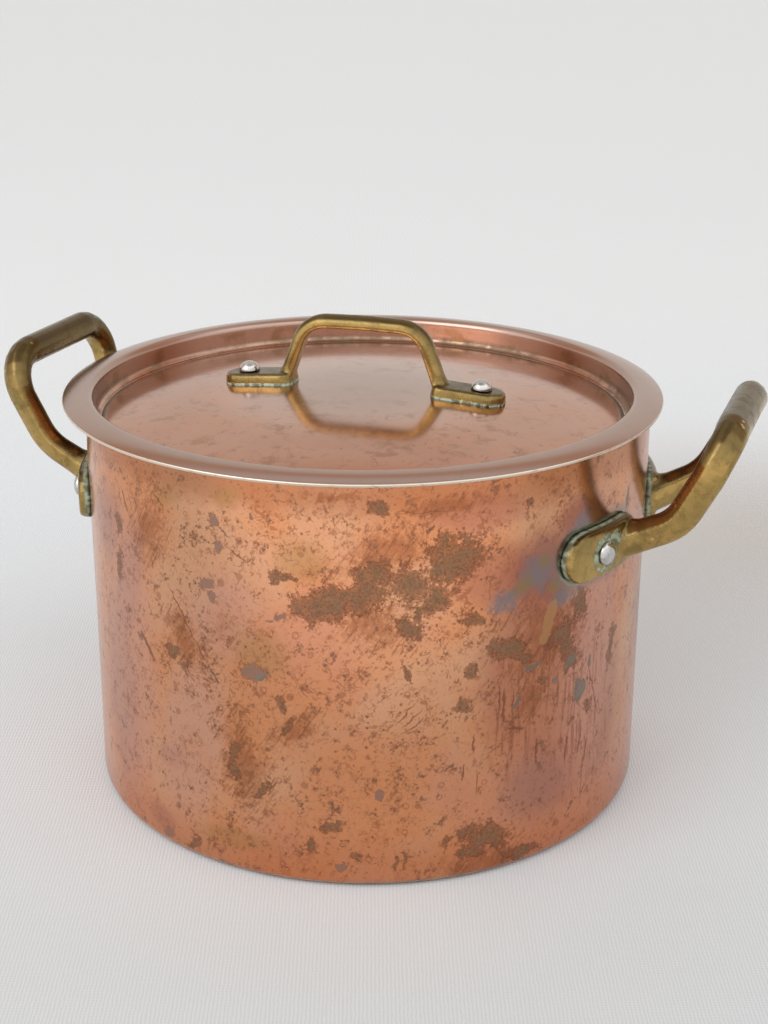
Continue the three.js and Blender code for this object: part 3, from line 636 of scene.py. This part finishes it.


# Sand-cast brass, filed and polished by hand, gone olive with age. It is bright where hands and cloths
# rub its edges, which also carry a painted highlight, brown where they don't reach, with painted shade
# deepening its corners, and green where damp stays, at the copper and the rivets. Faces turned up are
# painted darker, as shade.
def cast_brass(tree, where, contact_gap, crust, rivet_crust):
    """The brass's colour and its other feeds. The crust creeps up from where the contact gap is 0."""
    grain = cloud(tree, where, 0.9, detail=4, roughness=0.7)
    age = patches(tree, where, 16, 0.38, 0.62, detail=4)
    dull = patches(tree, where, 4.5, 0.46, 0.64, detail=6, roughness=0.68)
    # Painted shade with dirt: corners, found by ambient occlusion, are drawn dark brown.
    corner_shade_and_dirt = eased(tree, corner_shade_and_grime(tree, reach_mm=3.5), 0.25, 0.75)
    # Painted shade: faces turned upwards are drawn darker.
    facing = node(tree, "TexCoord", out="Normal")
    top_faces_painted_darker = eased(tree, node(tree, "SeparateXYZ", {0: facing}, out="Z"), -0.1, 0.7)
    # Edges drawn bright: rubbed brass, and a painted highlight along them.
    rubbed_and_highlit = eased(tree, node(tree, "NewGeometry", out="Pointiness"), 0.512, 0.55)
    ragged = cloud(tree, where, 2.2, detail=4)
    uneven = node(tree, "Math", {0: ragged, 1: 0.6 * crust, 2: contact_gap}, operation="MULTIPLY_ADD")
    verdigris = eased(tree, uneven, 1.4 * crust, 0.9 * crust)
    verdigris = node(tree, "Math", {0: verdigris, 1: rivet_crust}, operation="MAXIMUM")
    pale_share = patches(tree, where, 2.2, 0.40, 0.58, detail=5)
    pale = node(tree, "Math", {0: verdigris, 1: pale_share}, operation="MULTIPLY")
    colour = layered(tree, linear("#BC9C5E"), [
        (age, 0.7, "#9A814E"),
        (dull, 0.5, "#76633E"),
        (top_faces_painted_darker, 0.85, "#584A30"),
        (rubbed_and_highlit, 0.8, "#DDBE7C"),
        (corner_shade_and_dirt, 0.75, "#40351F"),
        (verdigris, 0.85, "#56604C"),
        (pale, 0.9, "#A9B49E"),
    ])
    roughness = node(tree, "Math", {0: dull, 1: 0.12, 2: 0.24}, operation="MULTIPLY_ADD")
    roughness = node(tree, "Math", {0: corner_shade_and_dirt, 1: 0.25, 2: roughness}, operation="MULTIPLY_ADD")
    roughness = node(tree, "Math", {0: verdigris, 1: 0.3, 2: roughness}, operation="MULTIPLY_ADD")
    metallic = node(tree, "Math", {0: verdigris, 1: -0.8, 2: 1}, operation="MULTIPLY_ADD")
    relief = node(tree, "Math", {0: verdigris, 1: 2.0, 2: grain}, operation="MULTIPLY_ADD")
    normal = node(tree, "Bump", {"Strength": 0.25, "Distance": 0.08 * MM, "Height": relief})
    return colour, {"Roughness": roughness, "Metallic": metallic, "Normal": normal}


# How far verdigris reaches: up a lug and a foot, out from the middle of a head on the wall, and from one
# of those up its handle's leg
LUG_CRUST = 2.2 * MM
FOOT_CRUST = 0.9 * MM
HEAD_CRUST = 6.6 * MM
LEG_CRUST = [(-19, 110, 5.5, 4, 60)]


def handle_brass(tree, where):
    """Brass on the wall: its inside, turned to the copper, is painted dark brown as shade."""
    outwards = node(tree, "VectorMath", {0: where, 1: (1, 1, 0)}, operation="MULTIPLY")
    reach = node(tree, "VectorMath", {0: outwards}, out="Value", operation="LENGTH")
    outwards = node(tree, "VectorMath", {0: outwards}, operation="NORMALIZE")
    facing = node(tree, "TexCoord", out="Normal")
    turned_out = node(tree, "VectorMath", {0: outwards, 1: facing}, out="Value", operation="DOT_PRODUCT")
    gap = node(tree, "Math", {0: reach, 1: POT_RADIUS}, operation="SUBTRACT")

    mirrored = node(tree, "VectorMath", {0: where}, operation="ABSOLUTE")
    feeds = {0: mirrored, 1: tuple(HEAD_MIDDLE)}
    from_head = node(tree, "VectorMath", feeds, out="Value", operation="DISTANCE")
    ragged = cloud(tree, where, 1.8, detail=4)
    uneven = node(tree, "Math", {0: ragged, 1: 3 * MM, 2: from_head}, operation="MULTIPLY_ADD")
    ring = eased(tree, uneven, HEAD_CRUST + 1.9 * MM, HEAD_CRUST + 0.9 * MM)
    ring = node(tree, "Math", {0: ring, 1: patches(tree, where, 2, 0.34, 0.52)}, operation="MULTIPLY")
    strays = wander(tree, where, size_mm=3, reach_mm=2)
    frayed = node(tree, "VectorMath", {0: unrolled(tree, where), 1: strays})
    creeping = eased(tree, marks(tree, frayed, LEG_CRUST), 0.0, 0.4)
    flecked = patches(tree, where, 1.6, 0.38, 0.55)
    creeping = node(tree, "Math", {0: creeping, 1: flecked}, operation="MULTIPLY")
    crusted = node(tree, "Math", {0: ring, 1: creeping}, operation="MAXIMUM")
    colour, feeds = cast_brass(tree, where, gap, LUG_CRUST, crusted)
    # Painted shade: faces turned towards the copper are drawn dark brown.
    turned_in_shade = eased(tree, turned_out, 0.0, -0.85)
    feeds["Base Color"] = layered(tree, colour, [(turned_in_shade, 0.7, "#4E4028")])
    return feeds


def bow_brass(tree, where):
    """Brass on the lid's panel."""
    from_ball = node(tree, "VectorMath", {0: where, 1: tuple(BALL_CENTRE)}, operation="SUBTRACT")
    reach = node(tree, "VectorMath", {0: from_ball}, out="Value", operation="LENGTH")
    gap = node(tree, "Math", {0: reach, 1: BALL_RADIUS + LID_SHEET / 2}, operation="SUBTRACT")
    colour, feeds = cast_brass(tree, where, gap, FOOT_CRUST, 0.0)
    feeds["Base Color"] = colour
    return feeds


# Soft white-metal rivets, hammered over and left bright.
def bright_rivet(tree, where):
    dings = cloud(tree, where, 1.6, detail=3)
    worn = patches(tree, where, 1.2, 0.44, 0.68, detail=5)
    colour = layered(tree, linear("#CBC9C6"), [(worn, 0.6, "#A8A49C")])
    roughness = node(tree, "Math", {0: dings, 1: 0.12, 2: 0.12}, operation="MULTIPLY_ADD")
    normal = node(tree, "Bump", {"Strength": 0.4, "Distance": 0.15 * MM, "Height": dings})
    return {"Base Color": colour, "Roughness": roughness, "Metallic": 1.0, "Normal": normal}


# The vessels

DENT_DEPTH = 0.22 * MM
DENT_SIZE = 34 * MM
DENTS_FADE = 12 * MM


def softly_dented(point):
    """Draws the wall in by a hair in places, as use does. The rim and the flat base stay true."""
    radius = point.to_2d().length
    if radius < POT_RADIUS - 2 * POT_WALL:
        return point
    clear_of_ends = min(point.z, POT_HEIGHT - point.z) / DENTS_FADE
    depth = DENT_DEPTH * min(clear_of_ends, 1) * (0.5 + 0.5 * noise.noise(point / DENT_SIZE))
    drawn_in = point.to_2d() * (1 - depth / radius)
    return Vector((*drawn_in, point.z))


def pot_body(outside, lining):
    inside = POT_RADIUS - POT_WALL
    wall_heights = [POT_HEIGHT * step / WALL_STEPS for step in range(3, WALL_STEPS)]
    profile = rounded_line([
        (0, 0, 0),
        (POT_RADIUS, 0, POT_CORNER),
        *[(POT_RADIUS, height, 0) for height in wall_heights],
        (POT_RADIUS, POT_HEIGHT, RIM_ROUNDING),
        (inside, POT_HEIGHT, RIM_ROUNDING),
        *[(inside, height, 0) for height in reversed(wall_heights)],
        (inside, POT_FLOOR, POT_CORNER - POT_WALL),
        (0, POT_FLOOR, 0),
    ])

    def lined(middle):
        in_wall = middle.x < POT_RADIUS - POT_WALL / 2
        return int(in_wall and middle.y > POT_FLOOR / 2)

    piece = lathe("pot_body_worn", profile, VESSEL_SEGMENTS, lined, softly_dented)
    place(piece, "pot", "pot_copper", [outside, lining], "pot_body")


def lid_body(outside, lining, edge):
    crest_radius = WELL_RADIUS + LID_LIP_BEND + LID_SHEET / 2
    reach = LID_RADIUS - crest_radius
    flange_radius = (reach ** 2 + LID_FLANGE_DROP ** 2) / (2 * LID_FLANGE_DROP)
    well_height = LID_LOW.z + LID_SHEET / 2
    crest_height = LID_HIGH.z - LID_SHEET / 2
    corners = []
    for step in range(DOME_STEPS):
        angle = math.asin(WELL_RADIUS / BALL_RADIUS) * step / DOME_STEPS
        height = BALL_CENTRE.z + BALL_RADIUS * math.cos(angle)
        corners.append((BALL_RADIUS * math.sin(angle), height, 0))
    corners.append((WELL_RADIUS, well_height, LID_WELL_BEND + LID_SHEET / 2))
    corners.append((WELL_RADIUS, crest_height, LID_LIP_BEND + LID_SHEET / 2))
    for step in range(FLANGE_STEPS + 1):
        angle = math.asin(reach / flange_radius) * step / FLANGE_STEPS
        fall = flange_radius * (1 - math.cos(angle))
        corners.append((crest_radius + flange_radius * math.sin(angle), crest_height - fall, 0))
    line = rounded_line(corners)
    under = offset_line(line, LID_SHEET / 2)
    over = offset_line(line, -LID_SHEET / 2)
    under[0].x = 0
    over[0].x = 0
    profile = rounded_line([
        *[(*point, 0) for point in under[:-1]],
        (*under[-1], LID_EDGE_ROUNDING),
        (*over[-1], LID_EDGE_ROUNDING),
        *[(*point, 0) for point in reversed(over[:-1])],
    ])
    # The flange's upper corner leans out a hair too far, so the whole lid is drawn in by as much.
    drawn_in = LID_RADIUS / max(point.x for point in profile)

    def moved(point):
        return Vector((point.x * drawn_in + LID_CENTRE.x, point.y * drawn_in + LID_CENTRE.y, point.z))

    def sided(middle):
        if middle.x > LID_RADIUS - TINNED_EDGE:
            return 2
        nearest = min(range(len(line)), key=lambda at: (line[at] - middle).length)
        ahead = line[min(nearest + 1, len(line) - 1)] - line[max(nearest - 1, 0)]
        return int(ahead.cross(middle - line[nearest]) < 0)

    piece = lathe("lid_worn", profile, VESSEL_SEGMENTS, sided, moved)
    place(piece, "lid", "lid_copper", [outside, lining, edge], "lid")


# Castings: each CAD solid drawn again in fine voxels and smoothed, so that its edges and inner corners
# are as soft as a filed casting's.

CAST_VOXEL = 0.4 * MM
WELD_REACH = 0.002 * MM
SEAT_REACH = 0.9 * MM


def onto_wall(corner):
    """A corner of a lug, moved onto the pot's wall where it is close to it."""
    reach = corner.to_2d().length
    if reach > POT_RADIUS + SEAT_REACH:
        return corner
    return Vector((*(corner.to_2d() * POT_RADIUS / reach), corner.z))


def onto_panel(corner):
    """A corner of a foot, moved onto the lid's panel where it is close to it."""
    from_ball = corner - BALL_CENTRE
    top = BALL_RADIUS + LID_SHEET / 2
    if from_ball.length > top + SEAT_REACH:
        return corner
    return BALL_CENTRE + from_ball * top / from_ball.length


def casting(node_name, body, material, smoothing_passes, seated):
    """A casting, with its corners close to its seat moved right onto it, so that no groove is left."""
    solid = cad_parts[node_name]
    piece = bpy.data.objects.new(node_name + "_cast", solid.data.copy())
    bpy.context.scene.collection.objects.link(piece)
    welded = bmesh.new()
    welded.from_mesh(piece.data)
    bmesh.ops.remove_doubles(welded, verts=welded.verts, dist=WELD_REACH)
    welded.to_mesh(piece.data)
    welded.free()
    remesh = piece.modifiers.new("voxels", "REMESH")
    remesh.mode = "VOXEL"
    remesh.voxel_size = CAST_VOXEL
    smooth = piece.modifiers.new("filed", "SMOOTH")
    smooth.iterations = smoothing_passes
    applied(piece)
    piece.data.materials.clear()
    for vertex in piece.data.vertices:
        vertex.co = seated(vertex.co)
    piece.data.shade_smooth()
    place(piece, body, "cast_brass", [material], node_name)


# Rivets, each with a domed head outside and a flatter tail inside

SEAT_SLACK = 0.1 * MM


def rivet(node_name, body, axis, head_height, material):
    """A rivet along its axis, measured from its CAD solid."""
    corners = corners_of(node_name)
    middle = sum(corners, Vector()) / len(corners)
    along = [(corner - middle).dot(axis) for corner in corners]
    seat_height = max(along) - head_height
    seat = middle + axis * seat_height
    head_radius = max(
        (corner - middle - axis * height).length
        for corner, height in zip(corners, along)
        if height > seat_height - SEAT_SLACK
    )
    grip = seat_height - min(along) - TAIL_HEIGHT

    def dome(radius, height):
        arc = [math.pi / 2 * step / ARC_STEPS for step in range(ARC_STEPS + 1)]
        rise = height - HEAD_EDGE
        return [Vector((radius * math.cos(a), HEAD_EDGE + rise * math.sin(a))) for a in arc]

    tail = [Vector((p.x, -grip - p.y)) for p in reversed(dome(TAIL_RADIUS, TAIL_HEIGHT))]
    profile = [
        *tail,
        Vector((TAIL_RADIUS, -grip)),
        Vector((SHANK_RADIUS, -grip)),
        Vector((SHANK_RADIUS, 0)),
        Vector((head_radius, 0)),
        *dome(head_radius, head_height),
    ]
    profile[0].x = 0
    profile[-1].x = 0
    turn = Matrix.Translation(seat) @ axis.to_track_quat("Z", "Y").to_matrix().to_4x4()
    piece = lathe(node_name + "_head", profile, RIVET_SEGMENTS, shaped=lambda point: turn @ point)
    place(piece, body, "rivets", [material], node_name)


# The set: a pale linen cloth, and a pale room that shows only mirrored in the metal. The camera stands a
# little round from the pot's front. Seen from above, it looks the way of BACKWARDS.

CAMERA_SIDE = math.radians(20)
BACKWARDS = (-math.sin(CAMERA_SIDE), math.cos(CAMERA_SIDE), 0)
RIGHTWARDS = (math.cos(CAMERA_SIDE), math.sin(CAMERA_SIDE), 0)

# The copper throws a soft, warm shade on the cloth behind it, on the right.
SHADE_MIDDLE = Vector(BACKWARDS) * 230 * MM + Vector(RIGHTWARDS) * 200 * MM
SHADE_REACH = 220 * MM

# The cloth's threads lie about 0.7 mm apart. They are drawn further apart, so that they show.
THREAD_MM = 1.2
WAVES_PER_SCALE = 20 / math.tau
CLOTH_SIZE = 12


# Linen, woven plain and washed soft: it is matt and nearly white, with thin grey gaps between its threads
# that are painted shade, and slow folds. Its tone is painted light: greyest a little in front of the pot,
# whiter towards the camera and paler again further back, as the light falls across the real cloth.
def linen(tree, where):
    laid = node(tree, "Mapping", {"Vector": where, "Rotation": (0, 0, -CAMERA_SIDE)})
    scale = PER_MM / THREAD_MM / WAVES_PER_SCALE
    feeds = {"Vector": laid, "Scale": scale, "Distortion": 2.2, "Detail": 2}
    warp = node(tree, "TexWave", feeds, out="Fac", bands_direction="X")
    weft = node(tree, "TexWave", feeds, out="Fac", bands_direction="Y")
    weave = node(tree, "Math", {0: weft, 1: 0.6, 2: warp}, operation="MULTIPLY_ADD")
    folds = cloud(tree, where, 160, detail=2)
    # Painted shade: the gaps between the threads are drawn grey.
    shade_between_threads = eased(tree, weave, 1.1, 0.2)
    fine = node(tree, "Math", {0: weave, 1: 0.15}, operation="MULTIPLY")
    height = node(tree, "Math", {0: folds, 1: 6, 2: fine}, operation="MULTIPLY_ADD")
    depth = node(tree, "VectorMath", {0: where, 1: BACKWARDS}, out="Value", operation="DOT_PRODUCT")
    from_shade = node(tree, "VectorMath", {0: where, 1: SHADE_MIDDLE}, out="Value", operation="DISTANCE")
    shade = eased(tree, from_shade, SHADE_REACH, 0)
    colour = layered(tree, linear("#FDFDFD"), [
        # Painted light: greyest a little in front of the pot, paler towards the camera and further back.
        (eased(tree, depth, -0.33, -0.19), 1, "#D0D5D8"),
        (eased(tree, depth, -0.16, 0.02), 1, "#DDE3E8"),
        (eased(tree, depth, 0.05, 0.75), 1, "#E7EBEE"),
        (shade, 0.6, "#B4A89D"),
        (shade_between_threads, 0.25, "#A4A6A8"),
    ])
    normal = node(tree, "Bump", {"Strength": 0.35, "Distance": 1 * MM, "Height": height})
    return {"Base Color": colour, "Roughness": 0.95, "Normal": normal}


def lay_cloth():
    bpy.ops.mesh.primitive_plane_add(size=CLOTH_SIZE, location=(0, 0, 0))
    cloth = bpy.context.object
    cloth.name = "cloth"
    cloth.data.materials.append(surface("pale_linen", linen))


# The camera's place and turns, in metres and radians, and its lens
CAMERA_BACK = 578.4 * MM
CAMERA_HEIGHT = 310.7 * MM
CAMERA_DOWN = 0.356
CAMERA_PAN = 0.010
CAMERA_ROLL = 0.005
FOCAL_PIXELS = 1684
IMAGE_HEIGHT_PIXELS = 1024
SENSOR_MM = 36
CLIP_START = 20 * MM


def set_camera():
    camera = bpy.data.objects.new("camera", bpy.data.cameras.new("camera"))
    bpy.context.scene.collection.objects.link(camera)
    camera.data.sensor_width = SENSOR_MM
    camera.data.lens = SENSOR_MM * FOCAL_PIXELS / IMAGE_HEIGHT_PIXELS
    camera.data.clip_start = CLIP_START
    camera.matrix_world = (
        Matrix.Rotation(CAMERA_SIDE, 4, "Z")
        @ Matrix.Translation((0, -CAMERA_BACK, CAMERA_HEIGHT))
        @ Matrix.Rotation(-CAMERA_PAN, 4, "Z")
        @ Matrix.Rotation(math.pi / 2 - CAMERA_DOWN, 4, "X")
        @ Matrix.Rotation(CAMERA_ROLL, 4, "Z")
    )
    bpy.context.scene.camera = camera


# How steeply one looks up from the pot to the backdrop's straight top edge
BACKDROP_RISE = math.tan(math.radians(35))


def set_world():
    """A pale backdrop behind the pot, a warm wall over it, then a pale ceiling, darker right overhead. In
    front is a pale room, a little greyer to the right and white higher up."""
    world = bpy.data.worlds.new("studio")
    bpy.context.scene.world = world
    world.use_nodes = True
    tree = world.node_tree
    tree.nodes.clear()
    way = node(tree, "TexCoord", out="Generated")
    depth = node(tree, "VectorMath", {0: way, 1: BACKWARDS}, out="Value", operation="DOT_PRODUCT")
    side = node(tree, "VectorMath", {0: way, 1: RIGHTWARDS}, out="Value", operation="DOT_PRODUCT")
    height = node(tree, "SeparateXYZ", {0: way}, out="Z")
    top_edge = node(tree, "Math", {0: depth, 1: BACKDROP_RISE}, operation="MULTIPLY")
    over_edge = eased(tree, node(tree, "Math", {0: height, 1: top_edge}, operation="SUBTRACT"), 0.0, 0.02)
    rear = layered(tree, linear("#C0BFBC"), [
        (over_edge, 1, "#AF9481"),
        (eased(tree, height, 0.66, 0.80), 1, "#C2C5C8"),
    ])
    front = layered(tree, linear("#EEF0F2"), [
        (eased(tree, side, -0.6, 0.9), 1, "#D6D9DC"),
        (eased(tree, height, 0.25, 0.7), 1, "#FFFFFF"),
    ])
    feeds = {BLEND: eased(tree, depth, -0.15, 0.25), UNDER: front, OVER: rear}
    colour = node(tree, "Mix", feeds, out=BLENDED, data_type="RGBA")
    colour = layered(tree, colour, [(eased(tree, height, 0.84, 0.95), 1, "#A8A096")])
    light = node(tree, "Background", {"Color": colour, "Strength": 1.5})
    node(tree, "OutputWorld", {"Surface": light})


def soft_lamp(name, side_deg, up_deg, distance, size, watts):
    """A square lamp on the camera's side of the pot, turned towards the pot's middle."""
    side = CAMERA_SIDE - math.pi / 2 + math.radians(side_deg)
    up = math.radians(up_deg)
    way = Vector((math.cos(side) * math.cos(up), math.sin(side) * math.cos(up), math.sin(up)))
    lamp = bpy.data.objects.new(name, bpy.data.lights.new(name, "AREA"))
    lamp.data.size = size
    lamp.data.energy = watts
    lamp.location = way * distance + Vector((0, 0, POT_HEIGHT / 2))
    lamp.rotation_euler = way.to_track_quat("Z", "Y").to_euler()
    bpy.context.scene.collection.objects.link(lamp)


set_camera()
set_world()
lay_cloth()
soft_lamp("window", side_deg=-50, up_deg=38, distance=1.8, size=1.1, watts=7)

pot_copper = surface("old_copper", old_copper)
lid_copper = surface("satin_copper", satin_copper)
tin = surface("wiped_tin", wiped_tin)
edge = surface("tinned_edge", tinned_edge)
wall_brass = surface("cast_brass_on_wall", handle_brass)
lid_brass = surface("cast_brass_on_lid", bow_brass)
rivet_metal = surface("bright_rivet", bright_rivet)

pot_body(pot_copper, tin)
lid_body(lid_copper, tin, edge)
for handle in ("side_handle_right", "side_handle_left"):
    casting(handle, "pot", wall_brass, smoothing_passes=24, seated=onto_wall)
casting("lid_handle", "lid", lid_brass, smoothing_passes=14, seated=onto_panel)

for rivet_name in ("rivet_right_front", "rivet_right_back", "rivet_left_front", "rivet_left_back"):
    outward = middle_of(rivet_name).to_2d().normalized().to_3d()
    rivet(rivet_name, "pot", outward, WALL_HEAD_HEIGHT, rivet_metal)
for rivet_name in ("lid_rivet_right", "lid_rivet_left"):
    upward = (middle_of(rivet_name) - BALL_CENTRE).normalized()
    rivet(rivet_name, "lid", upward, LID_HEAD_HEIGHT, rivet_metal)

bpy.context.scene.view_settings.view_transform = "Standard"
